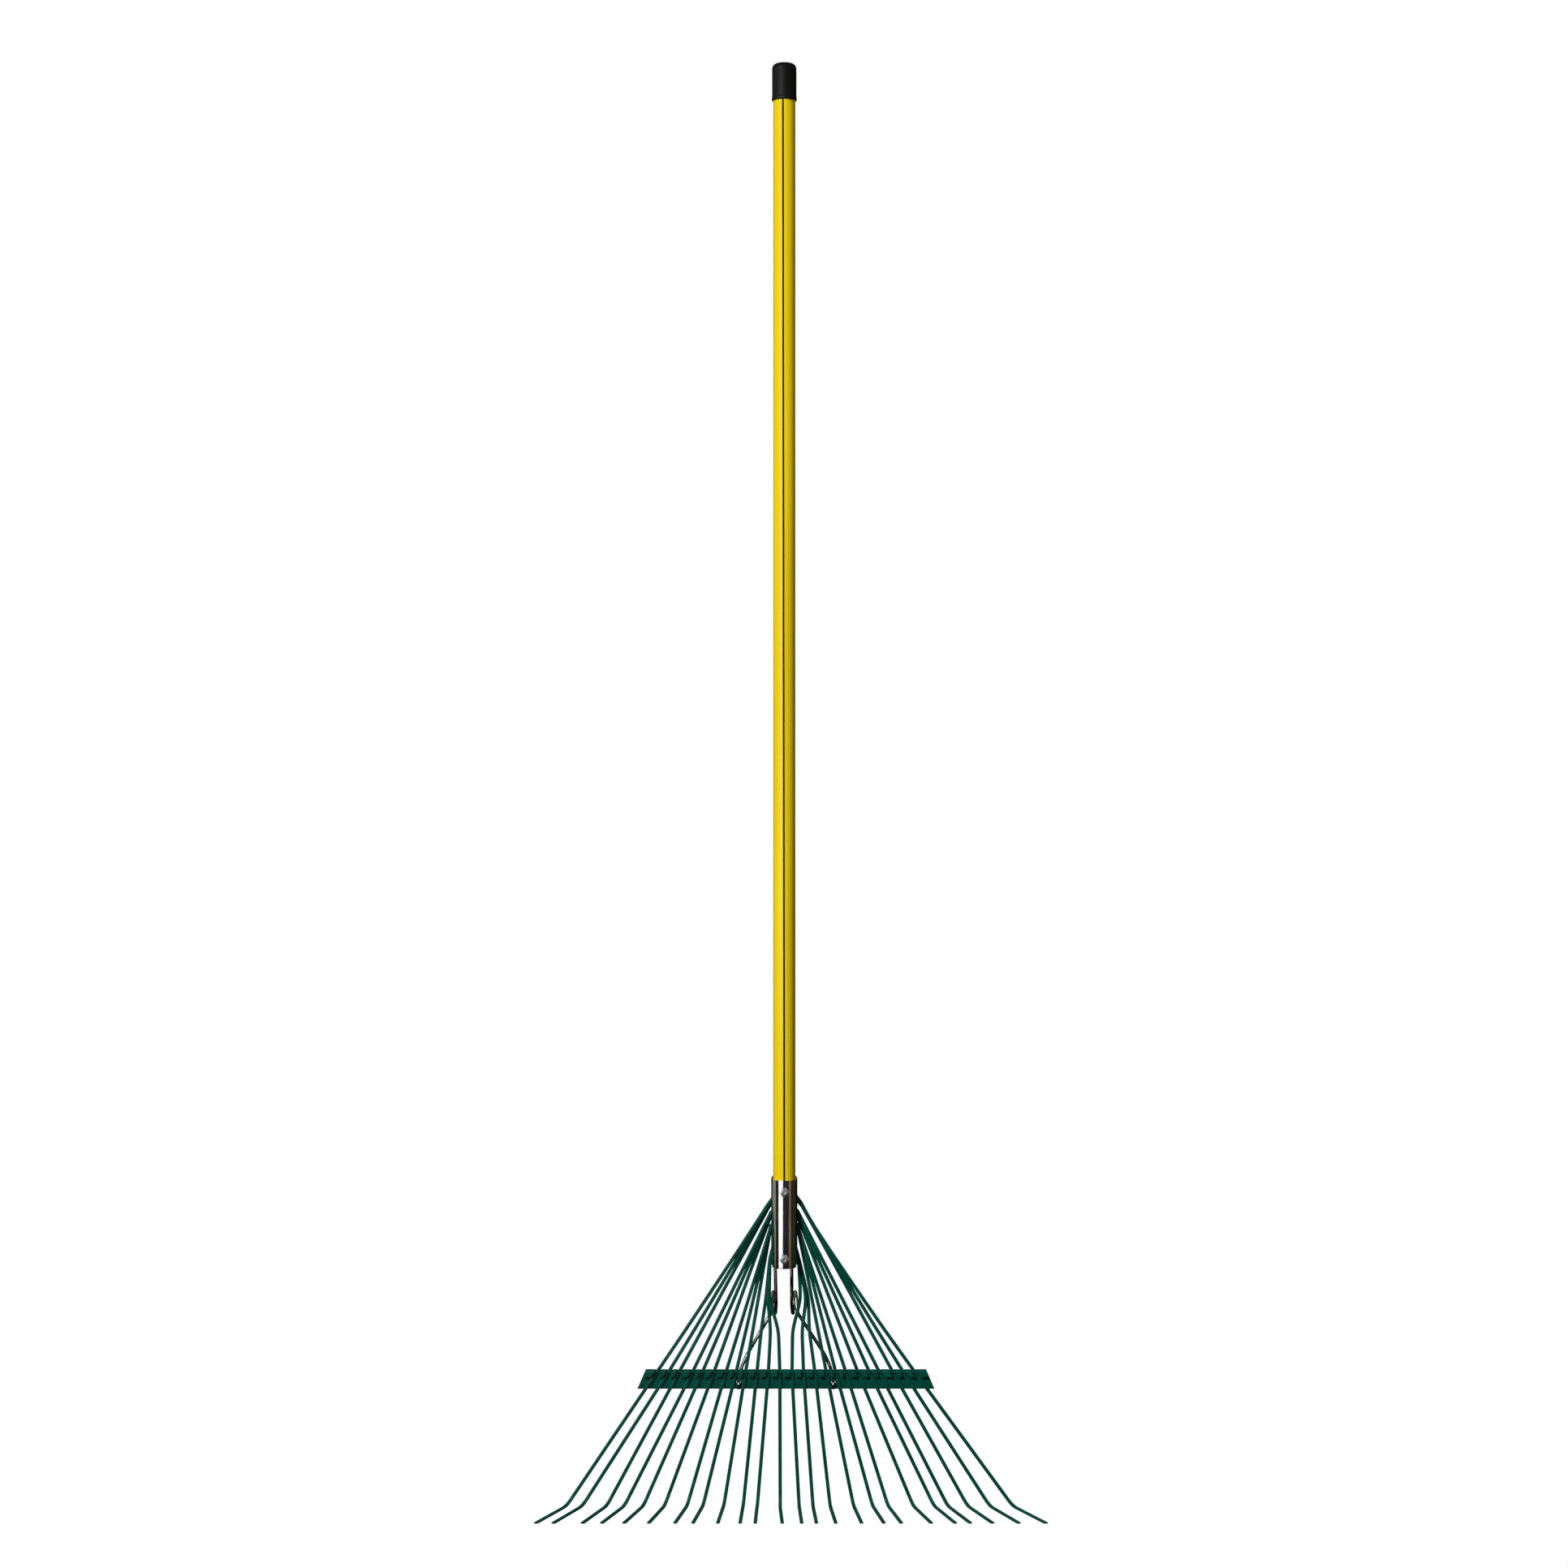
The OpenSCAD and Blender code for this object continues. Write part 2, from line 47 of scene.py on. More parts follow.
# Lengths are metres unless multiplied by MM.
MM = 0.001
TINES = ["tine_%02d" % number for number in range(1, 25)]

# Handle and cap
WALL = 3.2 * MM
CAP_TOP = 4.5 * MM
CAP_ROUND = 6 * MM
CAP_LIP_HEIGHT = 6 * MM
CAP_RADIUS = 13.95 * MM
CAP_EDGE = 0.7 * MM
CAP_AXIS_GAP = 3 * MM
TUBE_EDGE = 0.5 * MM
STRIPE_HALF = 1.05 * MM
LATHE_SIDES = 128

# Ferrule
SHELL = 0.9 * MM
SIDE_Y = 6.4 * MM
FLANGE_Y = 12.55 * MM
CHANNEL_X = 12.9 * MM
CHANNEL_Y = 17 * MM
REAR_CORNER = 3 * MM
REAR_BEND = 1.2 * MM
REAR_DENSE_X = 12.4 * MM
REAR_DENSE_STEP = 0.3 * MM
SEAT_RADIUS = 4.4 * MM
SEAT_BLEND = 0.6 * MM

# Clamp bolts and nuts
BOLT_RADIUS = 2.4 * MM
THREAD_PITCH = 0.8 * MM
HEAD_AF = 8 * MM
HEAD_HEIGHT = 3.4 * MM
NUT_AF = 9.5 * MM
NUT_HEIGHT = 3.2 * MM
COLLAR_RADIUS = 3.7 * MM
COLLAR_HEIGHT = 1.5 * MM

# Crossbar
BAR_SHEET = 1.2 * MM
BAR_FLANGE_Y = 1.1 * MM
CURL_RADIUS = 3.45 * MM
TAB_Z = 154.7 * MM
SLOT_WIDTH = 5.6 * MM
LIP_RADIUS = 2 * MM
LIP_LENGTH = 4.5 * MM
END_SLOPE = 0.43
FOOT_HOLE_Z = 147.8 * MM
FOOT_HOLE_RADIUS = 2.4 * MM
SLOT_BACK_GAP = 0.05 * MM

# Swept wires
TINE_CORNERS = 8
TINE_EDGE = 0.55 * MM
BRACE_SIDES_CAD = 10
BRACE_SIDES = 28
BRACE_RADIUS = 2 * MM


# ---- meshes ----

def place(obj, node):
    """Makes a piece stand for one CAD node."""
    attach(obj, "root")
    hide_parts(node)
    return obj


def new_piece(name, points, faces, material, sharp_angle=35):
    """Mesh object with smooth shading that breaks at edges sharper than the given angle."""
    mesh = bpy.data.meshes.new(name)
    mesh.from_pydata(points, [], faces)
    work = bmesh.new()
    work.from_mesh(mesh)
    bmesh.ops.recalc_face_normals(work, faces=work.faces)
    work.to_mesh(mesh)
    work.free()
    mesh.materials.append(material)
    for polygon in mesh.polygons:
        polygon.use_smooth = True
    mesh.set_sharp_from_angle(angle=math.radians(sharp_angle))
    obj = bpy.data.objects.new(name, mesh)
    scene.collection.objects.link(obj)
    return obj


def skin_faces(starts, sides, closed_loop=False):
    """Quads between rings of equal size whose first points have the given indices."""
    faces = []
    last = len(starts) if closed_loop else len(starts) - 1
    for k in range(last):
        a = starts[k]
        b = starts[(k + 1) % len(starts)]
        for m in range(sides):
            n = (m + 1) % sides
            faces.append((a + m, a + n, b + n, b + m))
    return faces


def swept(name, rings, material):
    """Closed tube through rings of points, with flat ends."""
    sides = len(rings[0])
    points = [p for ring in rings for p in ring]
    starts = [k * sides for k in range(len(rings))]
    faces = skin_faces(starts, sides)
    faces.append(tuple(range(sides)))
    faces.append(tuple(starts[-1] + m for m in range(sides)))
    return new_piece(name, points, faces, material)


def turned(name, stations, sides, to_world, material, loop=False):
    """Solid of revolution, or of flats and cones: each station is (height, radius at an angle)."""
    points = []
    starts = []
    for height, radius in stations:
        starts.append(len(points))
        for m in range(sides):
            angle = 2 * math.pi * m / sides
            r = radius(angle) if callable(radius) else radius
            points.append(to_world(r * math.cos(angle), r * math.sin(angle), height))
    faces = skin_faces(starts, sides, loop)
    if not loop:
        faces.append(tuple(range(sides)))
        faces.append(tuple(starts[-1] + m for m in range(sides)))
    return new_piece(name, points, faces, material)


def sheet(name, rows, kept, material, bevel=0.2 * MM):
    """Sheet metal from a grid of (inner point, outer point) pairs, with the cells that are kept."""
    width = len(rows[0])
    points = [p for row in rows for pair in row for p in pair]

    def index(r, c, side):
        return 2 * (r * width + c) + side

    faces = []
    for r in range(len(rows) - 1):
        for c in range(width - 1):
            if not kept(r, c):
                continue
            corners = [(r, c), (r, c + 1), (r + 1, c + 1), (r + 1, c)]
            faces.append([index(*k, 0) for k in corners])
            faces.append([index(*k, 1) for k in reversed(corners)])
            beyond = [(r - 1, c), (r, c + 1), (r + 1, c), (r, c - 1)]
            for k, (rr, cc) in enumerate(beyond):
                inside = 0 <= rr < len(rows) - 1 and 0 <= cc < width - 1
                if inside and kept(rr, cc):
                    continue
                a = corners[k]
                b = corners[(k + 1) % 4]
                faces.append([index(*a, 0), index(*a, 1), index(*b, 1), index(*b, 0)])
    obj = new_piece(name, points, faces, material)
    strip_loose(obj)
    round_edges(obj, bevel)
    return obj


def strip_loose(obj):
    """Removes the grid points that no face uses."""
    work = bmesh.new()
    work.from_mesh(obj.data)
    loose = [v for v in work.verts if not v.link_faces]
    bmesh.ops.delete(work, geom=loose, context="VERTS")
    work.to_mesh(obj.data)
    work.free()


def round_edges(obj, width, angle=50):
    modifier = obj.modifiers.new("edge_rounding", "BEVEL")
    modifier.limit_method = "ANGLE"
    modifier.angle_limit = math.radians(angle)
    modifier.width = width
    modifier.segments = 2
    modifier.harden_normals = True


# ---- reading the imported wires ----

def welded(node):
    """Points of a CAD node's mesh with doubled corners merged, and each point's neighbours."""
    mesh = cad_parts[node].data
    index = {}
    points = []
    links = []
    merged = []
    for vertex in mesh.vertices:
        key = tuple(round(c, 6) for c in vertex.co)
        if key not in index:
            index[key] = len(points)
            points.append(vertex.co.copy())
            links.append(set())
        merged.append(index[key])
    for edge in mesh.edges:
        a, b = (merged[v] for v in edge.vertices)
        if a != b:
            links[a].add(b)
            links[b].add(a)
    return points, links


def cad_rings(node, first, count):
    """Cross-sections of a swept node in order, from the end whose points come first."""
    points, links = welded(node)
    current = sorted(range(len(points)), key=lambda k: first(points[k]))[:count]
    seen = set(current)
    rings = []
    while current:
        rings.append([points[k] for k in current])
        current = sorted({n for k in current for n in links[k]} - seen)
        seen.update(current)
    return rings


def mixed(a, b, share):
    return tuple(p.lerp(q, share) for p, q in zip(a, b))


def toward(a, b, reach):
    return mixed(a, b, min(reach / (b[0] - a[0]).length, 0.45))


def softened(route, reach, steps=3):
    """Replaces each corner of a route by a short parabola. A station's first vector is its centre."""
    soft = [route[0]]
    for before, corner, after in zip(route, route[1:], route[2:]):
        a = toward(corner, before, reach)
        b = toward(corner, after, reach)
        for k in range(steps + 1):
            share = k / steps
            soft.append(mixed(mixed(a, corner, share), mixed(corner, b, share), share))
    soft.append(route[-1])
    return soft


# ---- tines ----

def tine_route(node):
    """Stations of a tine from top to tip: centre, half-width vector and half-thickness vector."""
    route = []
    through = Vector((0, -1, 0))
    for ring in cad_rings(node, lambda p: -p.z, TINE_CORNERS):
        centre = sum(ring, Vector()) / len(ring)
        half_width = max(p.x for p in ring) - centre.x
        offsets = [Vector((0, p.y - centre.y, p.z - centre.z)) for p in ring]
        farthest = max(offsets, key=lambda v: v.length)
        through = farthest if farthest.dot(through) > 0 else -farthest
        route.append((centre, Vector((half_width, 0, 0)), through))
    return route


ROUTES = {node: tine_route(node) for node in TINES}


def tine_x(node, z):
    """Centre of a tine at a height above its hook."""
    route = ROUTES[node]
    for (a, *_), (b, *_) in zip(route, route[1:]):
        if b.z <= z <= a.z:
            return a.lerp(b, (a.z - z) / (a.z - b.z)).x
    return route[0][0].x


def flat_wire_ring(centre, across, through, shrink=0.0):
    """Rounded rectangle spanned by the half-width and half-thickness vectors."""
    half_w = across.length
    half_t = through.length
    edge = min(TINE_EDGE, half_t)
    points = []
    for quarter in range(4):
        sign_w = 1 if quarter in (0, 3) else -1
        sign_t = 1 if quarter in (0, 1) else -1
        for step in range(4):
            angle = math.radians(90 * quarter + 30 * step)
            w = sign_w * (half_w - edge) + (edge - shrink) * math.cos(angle)
            t = sign_t * (half_t - edge) + (edge - shrink) * math.sin(angle)
            points.append(centre + across * (w / half_w) + through * (t / half_t))
    return points


def make_tine(node, material):
    route = softened(ROUTES[node], 3 * MM)
    rings = [flat_wire_ring(*station) for station in route]
    chamfer = 0.35 * MM
    for end, inner in ((0, 1), (-1, -2)):
        centre, across, through = route[end]
        step = (route[inner][0] - centre).normalized() * chamfer
        full = flat_wire_ring(centre + step, across, through)
        cut = flat_wire_ring(centre, across, through, chamfer)
        if end == 0:
            rings[0:1] = [cut, full]
        else:
            rings[-1:] = [full, cut]
    return place(swept("wire_" + node, rings, material), node)


# ---- crossbar ----

def crossbar_section():
    """Pairs of (y, z) on the inner and outer face, from the tab's lower edge over the curl to the lip."""
    low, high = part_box("crossbar")
    top = high.z
    curl_y = BAR_FLANGE_Y + BAR_SHEET - CURL_RADIUS
    curl_z = top - CURL_RADIUS
    curl_in = CURL_RADIUS - BAR_SHEET

    def on_curl(inner_deg, outer_deg):
        a = math.radians(inner_deg)
        b = math.radians(outer_deg)
        return (
            (curl_y + curl_in * math.cos(a), curl_z + curl_in * math.sin(a)),
            (curl_y + CURL_RADIUS * math.cos(b), curl_z + CURL_RADIUS * math.sin(b)),
        )

    front = curl_y - CURL_RADIUS
    pairs = [((front + BAR_SHEET, TAB_Z), (front, TAB_Z))]
    slot_back = BAR_FLANGE_Y - SLOT_BACK_GAP - curl_y
    inner_stop = math.degrees(math.acos(slot_back / curl_in))
    outer_stop = math.degrees(math.acos(slot_back / CURL_RADIUS))
    steps = 14
    for k in range(steps + 1):
        share = k / steps
        pairs.append(on_curl(180 + (inner_stop - 180) * share, 180 + (outer_stop - 180) * share))
    slotted = len(pairs) - 1
    for k in range(1, 5):
        pairs.append(on_curl(inner_stop * (1 - k / 4), outer_stop * (1 - k / 4)))
    back = BAR_FLANGE_Y + BAR_SHEET
    for k in range(1, 3):
        z = curl_z + (low.z + LIP_RADIUS - curl_z) * k / 3
        pairs.append(((BAR_FLANGE_Y, z), (back, z)))
    lip_y = BAR_FLANGE_Y + LIP_RADIUS
    lip_z = low.z + LIP_RADIUS
    for k in range(6):
        a = math.radians(180 + 18 * k)
        r = LIP_RADIUS - BAR_SHEET
        pairs.append((
            (lip_y + LIP_RADIUS * math.cos(a), lip_z + LIP_RADIUS * math.sin(a)),
            (lip_y + r * math.cos(a), lip_z + r * math.sin(a)),
        ))
    end_y = BAR_FLANGE_Y + LIP_LENGTH
    pairs.append(((end_y, low.z), (end_y, low.z + BAR_SHEET)))
    return pairs, slotted


def make_crossbar(material):
    low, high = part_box("crossbar")
    middle = (low.x + high.x) / 2
    pairs, slotted = crossbar_section()

    def columns(z):
        """x of the two ends and of both edges of every slot, at one height."""
        reach = (high.x - low.x) / 2 - END_SLOPE * (z - low.z)
        edges = []
        for node in TINES:
            lean = (tine_x(node, TAB_Z) - tine_x(node, high.z)) / (high.z - TAB_Z)
            half = SLOT_WIDTH / 2 * math.hypot(1, lean)
            centre = tine_x(node, z)
            edges += [centre - half, centre + half]
        return [middle - reach] + edges + [middle + reach]

    rows = []
    for (in_y, in_z), (out_y, out_z) in pairs:
        inner = [Vector((x, in_y, in_z)) for x in columns(in_z)]
        outer = [Vector((x, out_y, out_z)) for x in columns(out_z)]
        rows.append(list(zip(inner, outer)))

    def kept(r, c):
        return r >= slotted or c % 2 == 0

    bar = sheet("stamped_crossbar", rows, kept, material, 0.22 * MM)
    pierce_foot_holes(bar)
    return place(bar, "crossbar")


def pierce_foot_holes(bar):
    """Cuts the two holes through which the brace's feet come to the front."""
    cutters = []
    for number, x in enumerate(foot_places()):
        bpy.ops.mesh.primitive_cylinder_add(
            vertices=48,
            radius=FOOT_HOLE_RADIUS,
            depth=10 * MM,
            location=(x, BAR_FLANGE_Y, FOOT_HOLE_Z),
            rotation=(math.pi / 2, 0, 0),
        )
        cutters.append(bpy.context.object)
        cut = bar.modifiers.new("foot_hole_%d" % number, "BOOLEAN")
        cut.operation = "DIFFERENCE"
        cut.solver = "EXACT"
        cut.object = cutters[-1]
        bar.modifiers.move(len(bar.modifiers) - 1, 0)
    keep_evaluated(bar)
    for cutter in cutters:
        bpy.data.objects.remove(cutter)


def keep_evaluated(obj):
    """Replaces an object's mesh by what its modifiers make of it."""
    graph = bpy.context.evaluated_depsgraph_get()
    mesh = bpy.data.meshes.new_from_object(obj.evaluated_get(graph))
    obj.modifiers.clear()
    obj.data = mesh


# ---- brace ----

BRACE_ROUTE = [
    (sum(ring, Vector()) / len(ring),)
    for ring in cad_rings("spring_brace", lambda p: p.z + p.x, BRACE_SIDES_CAD)
]


def foot_places():
    return BRACE_ROUTE[0][0].x, BRACE_ROUTE[-1][0].x


def round_wire_rings(route, radius, sides):
    """Circles square to a route, each turned as little as possible from the one before."""
    centres = [station[0] for station in route]
    rings = []
    normal = Vector((0, -1, 0))
    for k, centre in enumerate(centres):
        before = centres[max(k - 1, 0)]
        after = centres[min(k + 1, len(centres) - 1)]
        heading = (after - before).normalized()
        normal = (normal - heading * normal.dot(heading)).normalized()
        side = heading.cross(normal)
        ring = []
        for m in range(sides):
            angle = 2 * math.pi * m / sides
            ring.append(centre + radius * (math.cos(angle) * normal + math.sin(angle) * side))
        rings.append(ring)
    return rings


def rounded_end(rings, radius):
    """Adds rings that round off the start of a wire without making it longer."""
    centre = sum(rings[0], Vector()) / len(rings[0])
    inward = (sum(rings[1], Vector()) / len(rings[1]) - centre).normalized()
    dome = []
    for degrees in (20, 45, 70):
        turn = math.radians(degrees)
        offset = inward * radius * 0.45 * (1 - math.sin(turn))
        share = 0.55 + 0.45 * math.sin(turn) if degrees > 20 else 0.62
        dome.append([centre + (p - centre) * share + offset for p in rings[0]])
    shoulder = [p + inward * radius * 0.45 for p in rings[0]]
    flat = [centre + (p - centre) * 0.45 for p in rings[0]]
    return [flat] + dome + [shoulder] + rings[1:]


def make_brace(material):
    route = softened(BRACE_ROUTE, 2.4 * MM)
    rings = round_wire_rings(route, BRACE_RADIUS, BRACE_SIDES)
    rings = rounded_end(rings, BRACE_RADIUS)
    rings = rounded_end(rings[::-1], BRACE_RADIUS)
    return place(swept("coil_spring_brace", rings, material), "spring_brace")


# ---- handle, cap and lock rod ----

def upright(x, y, height):
    return Vector((x, y, height))


def arc(centre_r, centre_z, radius, start, stop, steps):
    """Points (height, radius) on an arc of a lathe profile, angles from the radial direction."""
    points = []
    for k in range(steps + 1):
        angle = math.radians(start + (stop - start) * k / steps)
        points.append((centre_z + radius * math.sin(angle), centre_r + radius * math.cos(angle)))
    return points


def make_handle(material):
    low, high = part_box("handle_tube")
    outer = (high.x - low.x) / 2
    inner = outer - WALL
    edge = TUBE_EDGE
    profile = (
        arc(outer - edge, low.z + edge, edge, -90, 0, 4)
        + arc(outer - edge, high.z - edge, edge, 0, 90, 4)
        + [(high.z, inner + edge), (high.z - edge, inner)]
        + [(low.z + edge, inner), (low.z, inner + edge)]
    )
    tube = turned("fibreglass_tube", profile, LATHE_SIDES, upright, material, loop=True)
    return place(tube, "handle_tube")


def make_cap(material):
    low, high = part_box("end_cap")
    lip_r = (high.x - low.x) / 2
    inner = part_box("handle_tube")[1].x + 0.05 * MM
    edge = CAP_EDGE
    dome = arc(CAP_RADIUS - CAP_ROUND, high.z - CAP_ROUND, CAP_ROUND, 0, 82, 14)
    lip = [(low.z, inner + 0.4 * MM)]
    lip += arc(lip_r - edge, low.z + edge, edge, -90, 0, 4)
    lip += arc(lip_r - edge, low.z + CAP_LIP_HEIGHT * 0.45, edge, 0, 30, 3)
    lip += [(low.z + CAP_LIP_HEIGHT * 0.8, CAP_RADIUS + 0.08 * MM)]
    lip += [(low.z + CAP_LIP_HEIGHT, CAP_RADIUS)]
    crown = [(high.z - 0.02 * MM, CAP_RADIUS - CAP_ROUND), (high.z, CAP_AXIS_GAP)]
    inside = [(high.z - CAP_TOP, CAP_AXIS_GAP), (high.z - CAP_TOP, inner)]
    profile = [(low.z + 0.4 * MM, inner)] + lip + dome + crown + inside
    cap = turned("vinyl_cap", profile, LATHE_SIDES, upright, material, loop=True)
    fill_top(cap)
    return place(cap, "end_cap")


def fill_top(cap):
    """Closes the small circles left at the axis of the cap, above and below."""
    work = bmesh.new()
    work.from_mesh(cap.data)
    rim = CAP_AXIS_GAP + 0.01 * MM
    near_axis = [f for f in work.faces if all(math.hypot(v.co.x, v.co.y) < rim for v in f.verts)]
    bmesh.ops.delete(work, geom=near_axis, context="FACES")
    open_edges = [e for e in work.edges if e.is_boundary]
    bmesh.ops.holes_fill(work, edges=open_edges, sides=LATHE_SIDES)
    bmesh.ops.recalc_face_normals(work, faces=work.faces)
    for face in work.faces:
        face.smooth = True
    work.to_mesh(cap.data)
    work.free()


def make_rod(material):
    low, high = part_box("lock_rod")
    radius = (high.z - low.z) / 2
    centre_y = (low.y + high.y) / 2
    centre_z = (low.z + high.z) / 2

    def lying(a, b, height):
        return Vector((height, centre_y + a, centre_z + b))

    edge = 0.3 * MM
    profile = [
        (low.x, radius - edge),
        (low.x + edge, radius),
        (high.x - edge, radius),
        (high.x, radius - edge),
    ]
    rod = turned("lock_rod_wire", profile, 24, lying, material)
    return place(rod, "lock_rod")


# ---- ferrule ----

def outline_normals(points):
    """Left-hand normals of an open path in the plane."""
    normals = []
    for k in range(len(points)):
        a = points[max(k - 1, 0)]
        b = points[min(k + 1, len(points) - 1)]
        d = (b - a).normalized()
        normals.append(Vector((d.y, -d.x)))
    return normals


def make_ferrule_front(material):
    low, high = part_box("ferrule_front")
    outer = (high.x - low.x) / 2
    inner = outer - SHELL
    seat_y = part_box("nut_lower")[1].y
    seats = [sum(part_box(nut), Vector()).z / 2 for nut in ("nut_lower", "nut_upper")]
    half_turn = [math.radians(180 + 180 * k / 60) for k in range(61)]
    outline = [(Vector((-1, 0)), SIDE_Y), (Vector((-1, 0)), SIDE_Y / 2)]
    outline += [(Vector((math.cos(a), math.sin(a))), 0) for a in half_turn]
    outline += [(Vector((1, 0)), SIDE_Y / 2), (Vector((1, 0)), SIDE_Y)]
    count = 200
    heights = [low.z + (high.z - low.z) * k / count for k in range(count + 1)]
    rows = []
    for z in heights:
        row = []
        for direction, back in outline:
            inside = Vector((direction.x * inner, direction.y * inner + back, z))
            outside = Vector((direction.x * outer, direction.y * outer + back, z))
            away = min(math.hypot(outside.x, z - seat) for seat in seats)
            press = min(max((SEAT_RADIUS + SEAT_BLEND - away) / SEAT_BLEND, 0), 1)
            outside.y += press * max(seat_y - outside.y, 0)
            row.append((inside, outside))
        rows.append(row)
    shell = sheet("ferrule_front_shell", rows, lambda r, c: True, material)
    return place(shell, "ferrule_front")


def make_ferrule_rear(material):
    low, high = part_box("ferrule_rear")
    half = SHELL / 2
    corners = [
        (low.x, FLANGE_Y + half),
        (-CHANNEL_X - half, FLANGE_Y + half),
        (-CHANNEL_X - half, CHANNEL_Y + half),
        (CHANNEL_X + half, CHANNEL_Y + half),
        (CHANNEL_X + half, FLANGE_Y + half),
        (high.x, FLANGE_Y + half),
    ]
    path = [(Vector((*corner, 0)),) for corner in corners]
    path = [station[0].xy for station in softened(path, REAR_BEND, 5)]
    dense = [path[0]]
    for point in path[1:]:
        start = dense[-1]
        near_edge = abs(point.x) > REAR_DENSE_X
        gap = (point - start).length
        parts = max(1, round(gap / REAR_DENSE_STEP)) if near_edge else 1
        dense += [start.lerp(point, k / parts) for k in range(1, parts + 1)]
    normals = outline_normals(dense)

    def drop(x, radius):
        """How much a rounded corner lowers the edge at this x."""
        into = abs(x) - (high.x - radius)
        if into <= 0:
            return 0
        return radius - math.sqrt(max(radius * radius - into * into, 0))

    count = 24
    rows = []
    for k in range(count + 1):
        share = k / count
        row = []
        for point, normal in zip(dense, normals):
            bottom = low.z + drop(point.x, REAR_CORNER * 0.6)
            top = high.z - drop(point.x, REAR_CORNER)
            z = bottom + (top - bottom) * share
            inside = point - normal * half
            outside = point + normal * half
            row.append((Vector((*inside, z)), Vector((*outside, z))))
        rows.append(row)
    shell = sheet("ferrule_rear_shell", rows, lambda r, c: True, material)
    return place(shell, "ferrule_rear")


# ---- bolts and nuts ----

FASTENER_SIDES = 72


def hexagon(across_flats, limit=None, turn=0.0):
    """Radius of a hexagon at an angle, cut down to a limit as a turned chamfer does."""
    def radius(angle):
        sector = (angle - turn) % (math.pi / 3) - math.pi / 6
        r = across_flats / 2 / math.cos(sector)
        return r if limit is None else min(r, limit)
    return radius


def chamfered_hexagon(across_flats, height, turn=0.0):
    """Stations of a hexagonal block whose two faces are chamfered."""
    face = across_flats / 2 * 0.97
    corner = across_flats / 2 / math.cos(math.pi / 6)
    slope = 0.5
    stations = []
    rings = 5
    for k in range(rings):
        limit = face + (corner - face) * k / (rings - 1)
        stations.append(((limit - face) * slope, hexagon(across_flats, limit, turn)))
    mirrored = [(height - h, r) for h, r in reversed(stations)]
    return stations + mirrored


def make_nut(node, material):
    low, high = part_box(node)
    seat_y = high.y
    centre_z = (low.z + high.z) / 2

    def facing(a, b, height):
        return Vector((a, seat_y - height, centre_z + b))

    bore = BOLT_RADIUS + 0.05 * MM
    top = NUT_HEIGHT + COLLAR_HEIGHT
    stations = [(0.35 * MM, bore), (0, bore + 0.35 * MM)]
    stations += chamfered_hexagon(NUT_AF, NUT_HEIGHT, math.pi / 3)
    stations += [
        (NUT_HEIGHT, COLLAR_RADIUS + 0.25 * MM),
        (NUT_HEIGHT + 0.2 * MM, COLLAR_RADIUS),
        (top - 0.45 * MM, COLLAR_RADIUS),
        (top - 0.15 * MM, COLLAR_RADIUS - 0.14 * MM),
        (top, COLLAR_RADIUS - 0.45 * MM),
        (top, bore + 0.35 * MM),
        (top - 0.35 * MM, bore),
    ]
    nut = turned("lock_" + node, stations, FASTENER_SIDES, facing, material, loop=True)
    return place(nut, node)


def make_bolt(node, material):
    low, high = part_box(node)
    centre_z = (low.z + high.z) / 2
    back_y = high.y
    tip = high.y - low.y

    def facing(a, b, height):
        return Vector((a, back_y - height, centre_z + b))

    cup = 1.6 * MM
    head = chamfered_hexagon(HEAD_AF, HEAD_HEIGHT, math.pi / 3)
    stations = [(0, 1 * MM)] + head
    stations += [(HEAD_HEIGHT, BOLT_RADIUS)]
    threads = 10
    thread_start = tip - 0.5 * MM - threads * THREAD_PITCH
    for k in range(threads):
        z = thread_start + k * THREAD_PITCH
        stations += [
            (z, BOLT_RADIUS),
            (z + 0.5 * THREAD_PITCH, BOLT_RADIUS - 0.3 * MM),
        ]
    stations += [
        (tip - 0.5 * MM, BOLT_RADIUS),
        (tip, BOLT_RADIUS - 0.4 * MM),
        (tip, cup),
        (tip - 0.9 * MM, cup * 0.85),
        (tip - 1 * MM, cup * 0.5),
    ]
    bolt = turned("hex_" + node, stations, FASTENER_SIDES, facing, material)
    return place(bolt, node)


# ---- materials ----

